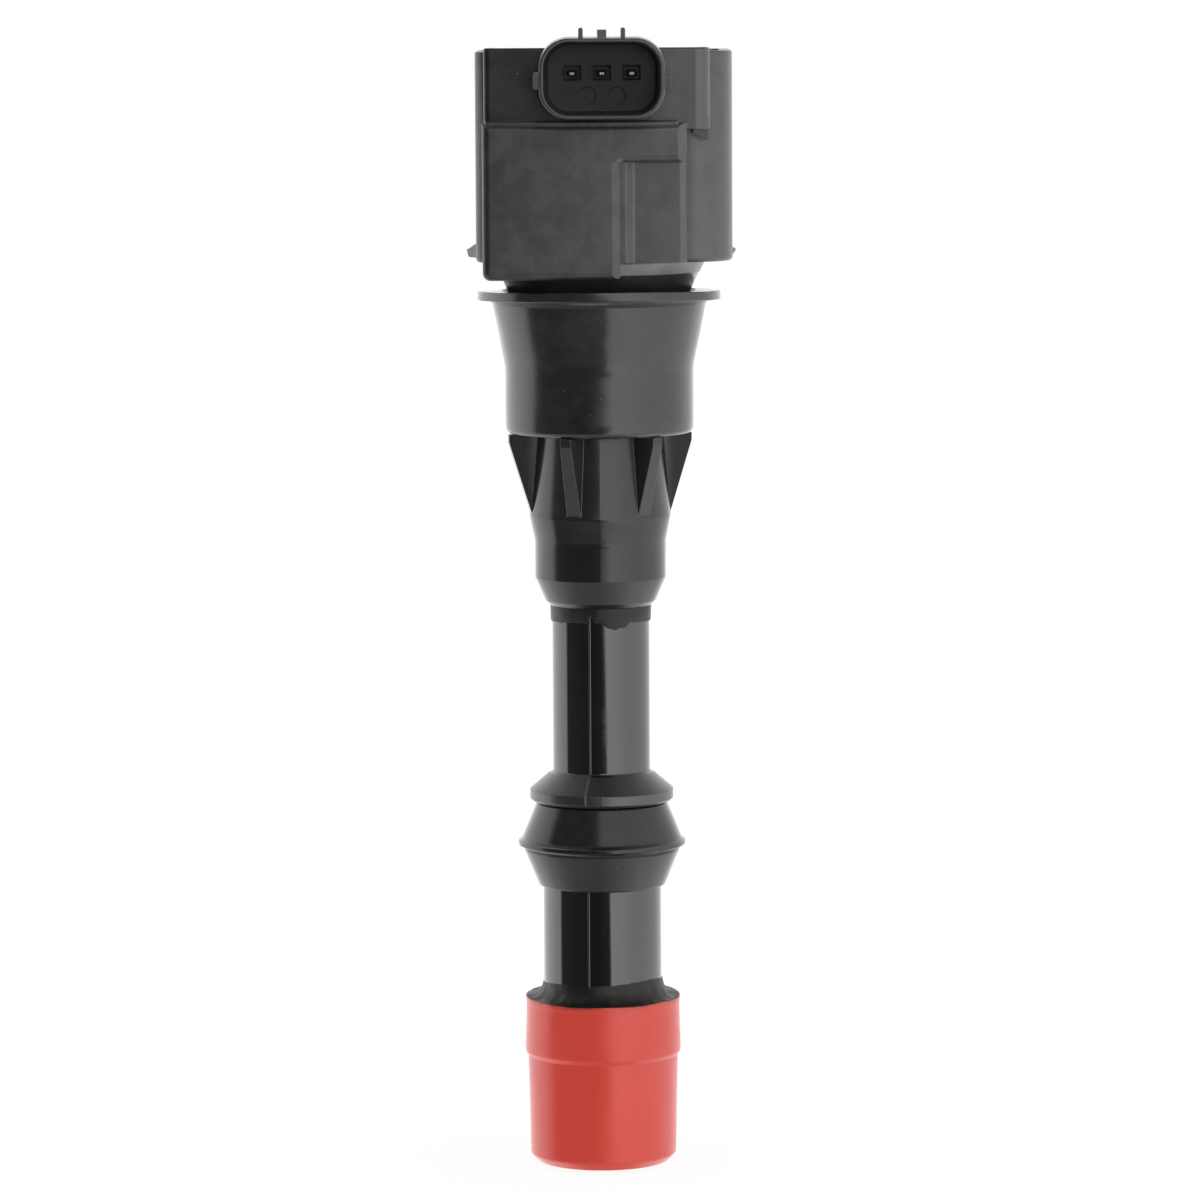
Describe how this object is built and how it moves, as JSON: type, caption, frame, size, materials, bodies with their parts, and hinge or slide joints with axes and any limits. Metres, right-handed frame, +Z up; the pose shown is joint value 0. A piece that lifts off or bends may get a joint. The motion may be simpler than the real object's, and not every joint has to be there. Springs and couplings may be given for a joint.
{
  "type": "ignition coil",
  "caption": "Plug-top ignition coil: potted coil head with an electrical socket and bolt ear, tower, well seal, extension tube and spark plug boot.",
  "frame": {"origin": "centre of the boot's mouth, where the spark plug enters", "axes": "+Z up the tower to the coil head, -Y out of the electrical socket, +Y to the bolt ear, +X to the right as seen from the socket"},
  "size_m": [0.0451, 0.0656, 0.1895],
  "materials": {
    "case_plastic": "fine moulded satin, dark grey to black",
    "socket_plastic": "satin moulded",
    "tube_plastic": "polished mould finish",
    "seal_rubber": "dusty satin rubber",
    "boot_silicone": "satin silicone",
    "black_sealant": "matte cured sealant",
    "tinned_brass": "tin plated",
    "zinc_steel": "zinc plated",
    "potting_resin": "cured cast surface",
    "core_steel": "stacked sheet edges",
    "magnet_ferrite": "ground",
    "bobbin_plastic": "glass-filled moulding",
    "copper_wire": "enamelled copper",
    "package_plastic": "moulded",
    "spreader_aluminium": "rolled",
    "resistor_ceramic": "bisque",
    "nickel_brass": "nickel plated",
    "spring_steel": "drawn wire"
  },
  "bodies": {
    "coil": {"coil_case": "case_plastic", "connector_socket": "socket_plastic", "extension_tube": "tube_plastic", "well_seal": "seal_rubber", "middle_seal": "seal_rubber", "plug_boot": "boot_silicone", "joint_sealant": "black_sealant", "boot_sealant": "black_sealant", "power_terminal": "tinned_brass", "ground_terminal": "tinned_brass", "signal_terminal": "tinned_brass", "high_voltage_terminal": "tinned_brass", "igniter_leads": "tinned_brass", "mounting_bush": "zinc_steel", "epoxy_potting": "potting_resin", "centre_core": "core_steel", "outer_core": "core_steel", "core_magnet": "magnet_ferrite", "primary_bobbin": "bobbin_plastic", "secondary_bobbin": "bobbin_plastic", "primary_winding": "copper_wire", "secondary_winding": "copper_wire", "igniter_module": "package_plastic", "high_voltage_diode": "package_plastic", "igniter_heat_spreader": "spreader_aluminium", "noise_resistor": "resistor_ceramic", "resistor_caps": "nickel_brass", "spring_seat": "nickel_brass", "contact_spring": "spring_steel"},
    "contact": {"plug_contact": "nickel_brass"}
  },
  "joints": [
    {"name": "contact_slide", "type": "slide", "parent": "coil", "child": "contact", "axis": [0, 0, 1], "range_m": [0, 0.006], "stiffness_N_per_m": 350, "deforming": ["contact_spring"]}
  ]
}
